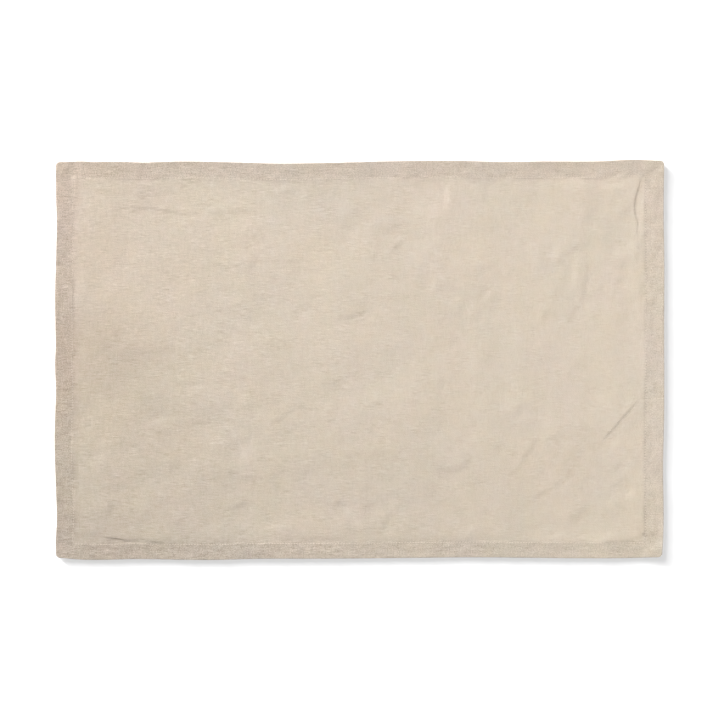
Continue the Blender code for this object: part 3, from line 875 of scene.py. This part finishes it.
def new_material(name, colour, roughness):
    material = bpy.data.materials.new(name)
    material.use_nodes = True
    tree = material.node_tree
    shader = tree.nodes["Principled BSDF"]
    shader.inputs["Base Color"].default_value = (*colour, 1)
    shader.inputs["Roughness"].default_value = roughness
    shader.inputs["Specular IOR Level"].default_value = 0.25
    return material, tree, shader


def weft_and_warp(tree, place, x, y):
    """Slubby yarns along X and along Y. They come in clumps, and the warp shows more towards the right."""
    right = ramp(tree, x, -90.0, 160.0, 0.0, 1.0)
    clumps = ramp(tree, streaks(tree, place, 16.0, 9.0, 6.4), -0.15, 0.2, 0.6, 1.5)
    weft = product(tree, yarns_along(tree, x, y, 7.0, 3.1), maths(tree, "MULTIPLY_ADD", right, -0.15, clumps))
    clumps = ramp(tree, streaks(tree, place, 9.0, 16.0, 1.2), -0.15, 0.2, 0.2, 0.9)
    warp = product(tree, yarns_along(tree, y, x, 5.0, 7.7), maths(tree, "MULTIPLY_ADD", right, 0.3, clumps))
    return weft, warp


def plain_weave(tree, x, y, grain):
    """From -1 to 1 as yarns go under and over each other, a little out of line."""
    wobble = weighted(tree, (grain, 0.5))
    across = maths(tree, "SINE", maths(tree, "MULTIPLY", maths(tree, "ADD", x, wobble), math.pi / YARN))
    along = maths(tree, "SINE", maths(tree, "MULTIPLY", maths(tree, "ADD", y, wobble), math.pi / YARN))
    return maths(tree, "MULTIPLY", across, along)


def hem_share(tree, x, y, upright, level):
    """1 on the hem and 0 on the single cloth. The step between them is softest at the left and the bottom."""
    # Mask for the hem's painted shade and tint. Its soft step also paints shade on the single cloth beside
    # the seam, most at the left and the bottom.
    across = ramp(tree, upright, -0.5, ramp(tree, x, -200.0, 200.0, 9.0, 3.0), 1.0, 0.0)
    outer = ramp(tree, y, -100.0, 100.0, -5.0, -2.0)
    inner = ramp(tree, y, -100.0, 100.0, 7.0, 4.5)
    return maths(tree, "MAXIMUM", across, ramp(tree, level, outer, inner, 1.0, 0.0))


def seam_holes(tree, place, x, y, upright, level):
    """Needle holes along the seam, darkened with painted shade. They show here and there, and most of all on
    the right-hand row.
    """
    level_holes = maths(tree, "MULTIPLY", needle_holes(tree, level, x, upright), LEVEL_HOLES)
    holes = maths(tree, "MAXIMUM", needle_holes(tree, upright, y, level), level_holes)
    visible = ramp(tree, streaks(tree, place, 30.0, 30.0, 9.9), -0.08, 0.12, 0.3, 1.0)
    return product(tree, holes, product(tree, visible, ramp(tree, x, -150, 240, 0.4, 1.0)))


def linen_colour(tree, place, x, y, turned, yarns):
    """The linen's own colour, unevenly pink, creamy and straw, and a little rosier on the upper left hems."""
    pink = streaks(tree, place, 44.0, 56.0, 8.8)
    straw = streaks(tree, place, 34.0, 40.0, 2.6)
    flax = streaks(tree, place, 7.0, 5.5, 4.4, 0.0)
    cream = streaks(tree, place, 6.5, 8.0, 11.3, 0.0)
    rosy = maths(tree, "MULTIPLY_ADD", maths(tree, "SUBTRACT", y, x), 0.00004, 0.009)
    rosy = maths(tree, "MULTIPLY", turned, rosy)
    redder = weighted(tree, (pink, 0.048), (flax, 0.032), (yarns, -0.12), (rosy, 1.0), (0.997, 1.0))
    bluer = weighted(tree, (cream, 0.036), (straw, 0.08), (yarns, 0.18), (turned, 0.012), (1.0, 1.0))
    return add_node(tree, "ShaderNodeCombineXYZ", {
        "X": maths(tree, "MULTIPLY", spotted(tree, redder, place, TINTS, "red"), LINEN[0]),
        "Y": LINEN[1],
        "Z": maths(tree, "MULTIPLY", spotted(tree, bluer, place, TINTS, "blue"), LINEN[2]),
    }).outputs[0]


def linen_material():
    """Washed linen: uneven yarns both ways, a plain weave, and painted shade on the hem, where three layers
    let no light back from the table.
    """
    material, tree, shader = new_material("washed_linen", LINEN, 0.92)
    shader.inputs["Sheen Weight"].default_value = 0.08
    shader.inputs["Sheen Roughness"].default_value = 0.5
    place, x, y, _ = place_parts(tree)
    upright = add_node(tree, "ShaderNodeAttribute", attribute_name="seam_upright").outputs["Fac"]
    level = add_node(tree, "ShaderNodeAttribute", attribute_name="seam_level").outputs["Fac"]
    inside = maths(tree, "MINIMUM", upright, level)
    turned = hem_share(tree, x, y, upright, level)
    holes = seam_holes(tree, place, x, y, upright, level)

    weft, warp = weft_and_warp(tree, place, x, y)
    grain = streaks(tree, place, 1.0, 0.7, 5.3, 1.0)
    slubs = streaks(tree, place, 2.4, 8.0, 7.1, 1.0)
    cloud = streaks(tree, place, 17.0, 13.0, 1.9)
    weave = plain_weave(tree, x, y, grain)
    yarns = weighted(tree, (weft, 0.28), (warp, 0.08), (grain, 0.30), (slubs, 0.10), (weave, 0.02))

    # The yarns show more on the hem, towards the left and, along the bottom hem, once more.
    clearness = product(
        tree,
        ramp(tree, inside, -1.0, 6.0, HEM_CONTRAST, 1.0),
        ramp(tree, x, -260.0, 260.0, *SIDE_CONTRASTS),
        ramp(tree, level, -1.0, 4.0, ramp(tree, y, -150.0, 0.0, BOTTOM_CONTRAST, 1.0), 1.0),
    )
    hem_grain = maths(tree, "MULTIPLY", grain, ramp(tree, inside, -1.0, 2.0, HEM_GRAIN, 0.0))
    pattern = maths(tree, "MULTIPLY_ADD", yarns, clearness, maths(tree, "ADD", hem_grain, 1.0))
    shade = product(
        tree,
        maths(tree, "MULTIPLY_ADD", cloud, 0.04, pattern),
        # painted shade on the hem
        maths(tree, "MULTIPLY_ADD", turned, HEM_SHADE - 1, 1.0),
        # painted shade in the needle holes
        maths(tree, "SUBTRACT", 1.0, maths(tree, "MULTIPLY", holes, HOLE_PAINTED_SHADE)),
        # painted light falloff, darker towards the bottom
        ramp(tree, y, -WIDTH / 2, WIDTH / 2, *PAINTED_FALLOFF_BOTTOM_TOP),
        # painted light falloff, darker towards the left
        ramp(tree, x, -LENGTH / 2, LENGTH / 2, *PAINTED_FALLOFF_LEFT_RIGHT),
        # painted shade on the left and right hems
        ramp(tree, upright, -0.5, 1.0, UPRIGHT_SHADE, 1.0),
    )
    # Painted light and shade in round patches, and two flecks of darker flax
    shade = spotted(tree, shade, place, PAINTED_SHADE_PATCHES_AND_FLECKS, "shade")
    colour = linen_colour(tree, place, x, y, turned, yarns)
    shaded = add_node(tree, "ShaderNodeVectorMath", {0: colour, "Scale": shade}, operation="SCALE").outputs[0]
    tree.links.new(shaded, shader.inputs["Base Color"])

    relief = weighted(tree, (weft, 0.06), (warp, 0.05), (grain, 0.03), (weave, 0.03), (holes, -0.1))
    bump = add_node(
        tree, "ShaderNodeBump", {"Height": relief, "Distance": MM, "Strength": 1.0}
    ).outputs["Normal"]
    tree.links.new(bump, shader.inputs["Normal"])
    return material


def thread_material():
    """Spun sewing thread: a twist along its length, in short light and dark bands."""
    material, tree, shader = new_material("linen_thread", THREAD_COLOUR, 0.75)
    place, x, y, z = place_parts(tree)
    ways = maths(tree, "ADD", maths(tree, "ADD", x, y), z)
    twist = maths(tree, "SINE", maths(tree, "MULTIPLY", ways, 2 * math.pi / THREAD_TURN))
    uneven = streaks(tree, place, 1.5, 1.5, 4.2)
    shade = maths(tree, "ADD", weighted(tree, (twist, 0.06), (uneven, 0.3)), 1.0)
    colour = add_node(
        tree, "ShaderNodeVectorMath", {0: THREAD_COLOUR, "Scale": shade}, operation="SCALE"
    ).outputs[0]
    tree.links.new(colour, shader.inputs["Base Color"])
    bump = add_node(tree, "ShaderNodeBump", {"Height": twist, "Distance": 0.03 * MM, "Strength": 1.0})
    tree.links.new(bump.outputs["Normal"], shader.inputs["Normal"])
    return material


def make_floor():
    half = FLOOR_SIZE / 2
    corners = [(-half, -half, 0), (half, -half, 0), (half, half, 0), (-half, half, 0)]
    mesh = bpy.data.meshes.new("floor")
    mesh.from_pydata(corners, [], [(0, 1, 2, 3)])
    floor = bpy.data.objects.new("floor", mesh)
    bpy.context.collection.objects.link(floor)
    material, _, shader = new_material("white_table", (FLOOR_WHITE,) * 3, 0.9)
    shader.inputs["Specular IOR Level"].default_value = 0.0
    mesh.materials.append(material)


def direction(azimuth, elevation):
    """A unit vector towards an azimuth, anticlockwise from +X, and an elevation, in degrees."""
    flat = math.cos(math.radians(elevation))
    turn = math.radians(azimuth)
    return Vector((flat * math.cos(turn), flat * math.sin(turn), math.sin(math.radians(elevation))))


def make_lights():
    """Three suns, and a room that the camera sees as white but that lights the mat only a little."""
    for lamp in LAMPS:
        light = bpy.data.lights.new(lamp.name, "SUN")
        light.energy = lamp.share * LEVEL * math.pi / math.sin(math.radians(lamp.elevation))
        light.angle = math.radians(lamp.spread)
        place = direction(lamp.azimuth, lamp.elevation)
        lamp_object = bpy.data.objects.new(lamp.name, light)
        lamp_object.location = place
        lamp_object.rotation_euler = place.to_track_quat("Z", "Y").to_euler()
        bpy.context.collection.objects.link(lamp_object)

    world = bpy.data.worlds.new("white_room")
    world.use_nodes = True
    tree = world.node_tree
    seen = add_node(tree, "ShaderNodeLightPath").outputs["Is Camera Ray"]
    strength = add_node(
        tree,
        "ShaderNodeMapRange",
        {"Value": seen, "To Min": WORLD_SHARE * LEVEL, "To Max": 1.0},
    ).outputs["Result"]
    tree.links.new(strength, tree.nodes["Background"].inputs["Strength"])
    tree.nodes["Background"].inputs["Color"].default_value = (1, 1, 1, 1)
    bpy.context.scene.world = world


def make_camera():
    camera = bpy.data.cameras.new("camera")
    camera.sensor_width = 36
    camera.lens = 85
    distance = camera.lens / camera.sensor_width * FRAME_SIDE * MM
    camera_object = bpy.data.objects.new("camera", camera)
    camera_object.location = (VIEW_X * MM, VIEW_Y * MM, distance + HEM_TOP * MM)
    bpy.context.collection.objects.link(camera_object)
    bpy.context.scene.camera = camera_object


scene = bpy.context.scene
scene.view_settings.view_transform = "Standard"
scene.view_settings.look = "None"
scene.render.dither_intensity = 0.0

cloth = make_cloth()
cloth.data.materials.append(linen_material())
stitching = make_stitching()
stitching.data.materials.append(thread_material())
for piece in (cloth, stitching):
    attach(piece, "root")
    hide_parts("placemat")

make_floor()
make_lights()
make_camera()
